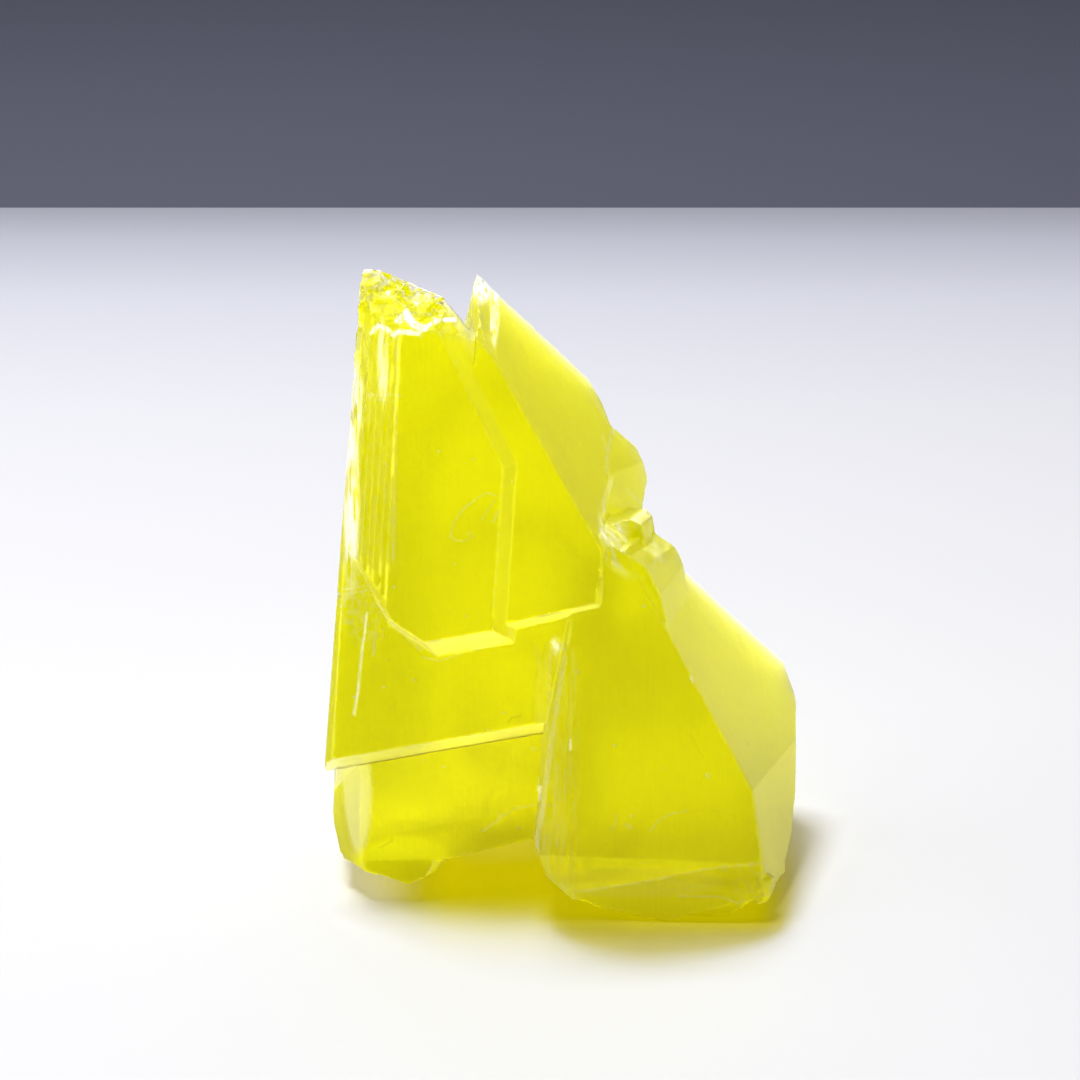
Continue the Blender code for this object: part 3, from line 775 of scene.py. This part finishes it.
def shadow_share(points, light, edges_x, edges_y):
    """Share of a square light that each floor cell doesn't see. The crystal's points are thrown onto the
    floor from LIGHT_SPOTS x LIGHT_SPOTS spots on the light, and the cells that they hit are counted and
    smoothed."""
    offsets = (np.arange(LIGHT_SPOTS) + 0.5) / LIGHT_SPOTS * KEY_SIZE - KEY_SIZE / 2
    total = np.zeros((len(edges_x) - 1, len(edges_y) - 1))
    for x in offsets:
        for y in offsets:
            hit = thrown(points, np.array(light) + np.array([x, y, 0.0]))
            total += np.histogram2d(hit[:, 0], hit[:, 1], [edges_x, edges_y])[0] > 0
    total /= LIGHT_SPOTS ** 2
    for axis in (0, 1):
        total = (np.roll(total, 1, axis) + 2.0 * total + np.roll(total, -1, axis)) / 4.0
    return total


def make_ground(name, xs, ys, material):
    """A level grid of ground a hair under the specimen, through the given lines."""
    grid_x, grid_y = np.meshgrid(xs, ys, indexing="ij")
    points = np.stack([grid_x.ravel(), grid_y.ravel(), np.full(grid_x.size, GROUND_LEVEL)], axis=1)
    ids = np.arange(grid_x.size).reshape(grid_x.shape)
    faces = np.stack([ids[:-1, :-1], ids[1:, :-1], ids[1:, 1:], ids[:-1, 1:]], axis=2).reshape(-1, 4)
    mesh = bpy.data.meshes.new(name)
    mesh.from_pydata(points.tolist(), [], faces.tolist())
    mesh.materials.append(material)
    ground = bpy.data.objects.new(name, mesh)
    bpy.context.scene.collection.objects.link(ground)
    return ground


def make_floor(crystal):
    """The pale floor, with three shares at each of its points: caught, how much of the main light the crystal
    catches above it; a share for the painted shadow in front of the right-hand part; and warm, how yellow
    that light is. Towards both ends, where the crystal is thin, less comes through and it is less yellow."""
    points = np.zeros(len(crystal.data.vertices) * 3, np.float32)
    crystal.data.vertices.foreach_get("co", points)
    points = points.reshape(-1, 3)
    edges_x = np.arange(*SHADOW_X, FLOOR_CELL)
    edges_y = np.arange(*SHADOW_Y, FLOOR_CELL)
    x = (edges_x[1:] + edges_x[:-1]) / 2
    y = (edges_y[1:] + edges_y[:-1]) / 2
    # Painted shadow: the right-hand part's points are thrown onto the floor from a place further back, so its
    # painted shadow reaches further in front.
    right = points[(points[:, 0] > PAINTED_SHADOW_PART[0]) & (points[:, 2] < PAINTED_SHADOW_PART[1])]
    thin = np.maximum(0.45 * ramp(0.0125, 0.0165, x), 0.30 * ramp(-0.0080, -0.0110, x))
    warm = ramp(-0.0145, -0.0100, x) * ramp(0.0190, 0.0140, x)
    shares = {
        "caught": shadow_share(points, KEY_PLACE, edges_x, edges_y) * (1.0 - thin)[:, None],
        "painted_shadow_ahead": shadow_share(right, PAINTED_SHADOW_PLACE, edges_x, edges_y),
        "warm": np.outer(warm, np.ones(len(y))),
    }
    xs = np.concatenate([[-GROUND_SIDE], x, [GROUND_SIDE]])
    ys = np.concatenate([[FLOOR_FRONT], y, [FLOOR_END]])
    floor = make_ground("floor", xs, ys, make_pale_floor())
    add_attributes(floor.data, {name: np.pad(values, 1) for name, values in shares.items()})


def make_pale_floor():
    """Plain pale matt paper, with painted shade that greys it towards its far edge. A renderer's shadow
    doesn't carry the light that comes through a crystal, so a painted yellow glow and a painted yellow shade
    where the crystal catches the main light stand for it, and a painted shadow lies in front of the
    right-hand part."""
    material = bpy.data.materials.new("pale_floor")
    material.use_nodes = True
    tree = material.node_tree
    shader = tree.nodes["Principled BSDF"]
    place = add(tree, "TexCoord").outputs["Object"]
    depth = add(tree, "SeparateXYZ", Vector=place).outputs["Y"]
    # Painted shade: the floor's colour darkens from the specimen towards its far edge.
    far = add(tree, "MapRange", Value=depth, From_Min=0.03, From_Max=FLOOR_END).outputs["Result"]
    pale = add(tree, "ValToRGB", Fac=far)
    stops = pale.color_ramp.elements
    for position, code in FLOOR_PAINTED_FALLOFF:
        stops.new(position).color = colour(code)
    stops[0].color = colour("#C5C5C8")
    stops[-1].color = colour("#82838E")
    share = {}
    for name in ("caught", "painted_shadow_ahead", "warm"):
        share[name] = add(tree, "Attribute", {"attribute_name": name}).outputs["Fac"]
    floor_colour_with_painted_shade = pale.outputs["Color"]
    # Painted yellow shade: the floor's colour is multiplied by yellow where the crystal catches the main
    # light and in the painted shadow in front.
    for name, codes in PAINTED_SHADE_TINTS:
        warmed = add(tree, "Math", TIMES, i0=share[name], i1=share["warm"]).outputs["Value"]
        tint = add(tree, "ValToRGB", Fac=warmed)
        stops = tint.color_ramp.elements
        stops[0].color = colour("#FFFFFF")
        stops[1].color = colour(codes[2])
        stops.new(PAINTED_SHADE_STOPS[0]).color = colour(codes[0])
        stops.new(PAINTED_SHADE_STOPS[1]).color = colour(codes[1])
        floor_colour_with_painted_shade = add(tree, "MixRGB", {"blend_type": "MULTIPLY"}, Fac=1.0, Color1=floor_colour_with_painted_shade,
                    Color2=tint.outputs["Color"]).outputs["Color"]
    # Painted light: the floor glows yellow where the crystal catches the main light.
    through = add(tree, "MixRGB", Fac=share["warm"], Color1=colour("#FFF2D4"), Color2=colour("#FFF100"))
    glow = add(tree, "Math", TIMES, i0=share["caught"], i1=PAINTED_GLOW).outputs["Value"]
    shader.inputs["Roughness"].default_value = 0.6
    tree.links.new(through.outputs["Color"], shader.inputs["Emission Color"])
    tree.links.new(glow, shader.inputs["Emission Strength"])
    tree.links.new(floor_colour_with_painted_shade, shader.inputs["Base Color"])
    return material


def make_dark_ground():
    """Plain dark matt ground past the far edge of the pale floor."""
    material = bpy.data.materials.new("dark_ground")
    material.use_nodes = True
    shader = material.node_tree.nodes["Principled BSDF"]
    shader.inputs["Base Color"].default_value = colour("#3C3D4E")
    shader.inputs["Roughness"].default_value = 0.8
    return material


def add_light(name, position, size, power):
    """A rectangular soft light aimed at the specimen."""
    data = bpy.data.lights.new(name, "AREA")
    data.shape = "RECTANGLE"
    data.size, data.size_y = size
    data.energy = power
    light = bpy.data.objects.new(name, data)
    light.location = position
    aim = Vector(LIGHT_TARGET) - Vector(position)
    light.rotation_euler = aim.to_track_quat("-Z", "Y").to_euler()
    bpy.context.scene.collection.objects.link(light)
    return light


def make_stage(crystal):
    """Floor, soft studio light and the camera at the photograph's viewing angle."""
    make_floor(crystal)
    make_ground("far_ground", (-GROUND_SIDE, GROUND_SIDE), (FLOOR_END, GROUND_END), make_dark_ground())
    specimen = bpy.data.collections.new("specimen")
    specimen.objects.link(crystal)
    for name, position, size, power, specimen_only in LIGHTS:
        light = add_light(name, position, size, power)
        if specimen_only:
            light.light_linking.receiver_collection = specimen
    world = bpy.data.worlds.new("studio")
    world.use_nodes = True
    world.node_tree.nodes["Background"].inputs["Color"].default_value = colour(WORLD_TONE)
    world.node_tree.nodes["Background"].inputs["Strength"].default_value = WORLD_STRENGTH
    bpy.context.scene.world = world
    data = bpy.data.cameras.new("camera")
    data.lens = LENS
    data.sensor_width = FILM_WIDTH
    data.clip_start = 0.01
    camera = bpy.data.objects.new("camera", data)
    camera.location = CAMERA_PLACE
    camera.rotation_euler = (math.radians(CAMERA_TILT), 0.0, 0.0)
    bpy.context.scene.collection.objects.link(camera)
    bpy.context.scene.camera = camera
    bpy.context.scene.view_settings.view_transform = "Standard"


crystal = make_crystal()
crystal.data.materials.append(make_sulfur())
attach(crystal, "root")
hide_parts("sulfur_crystal")
make_stage(crystal)
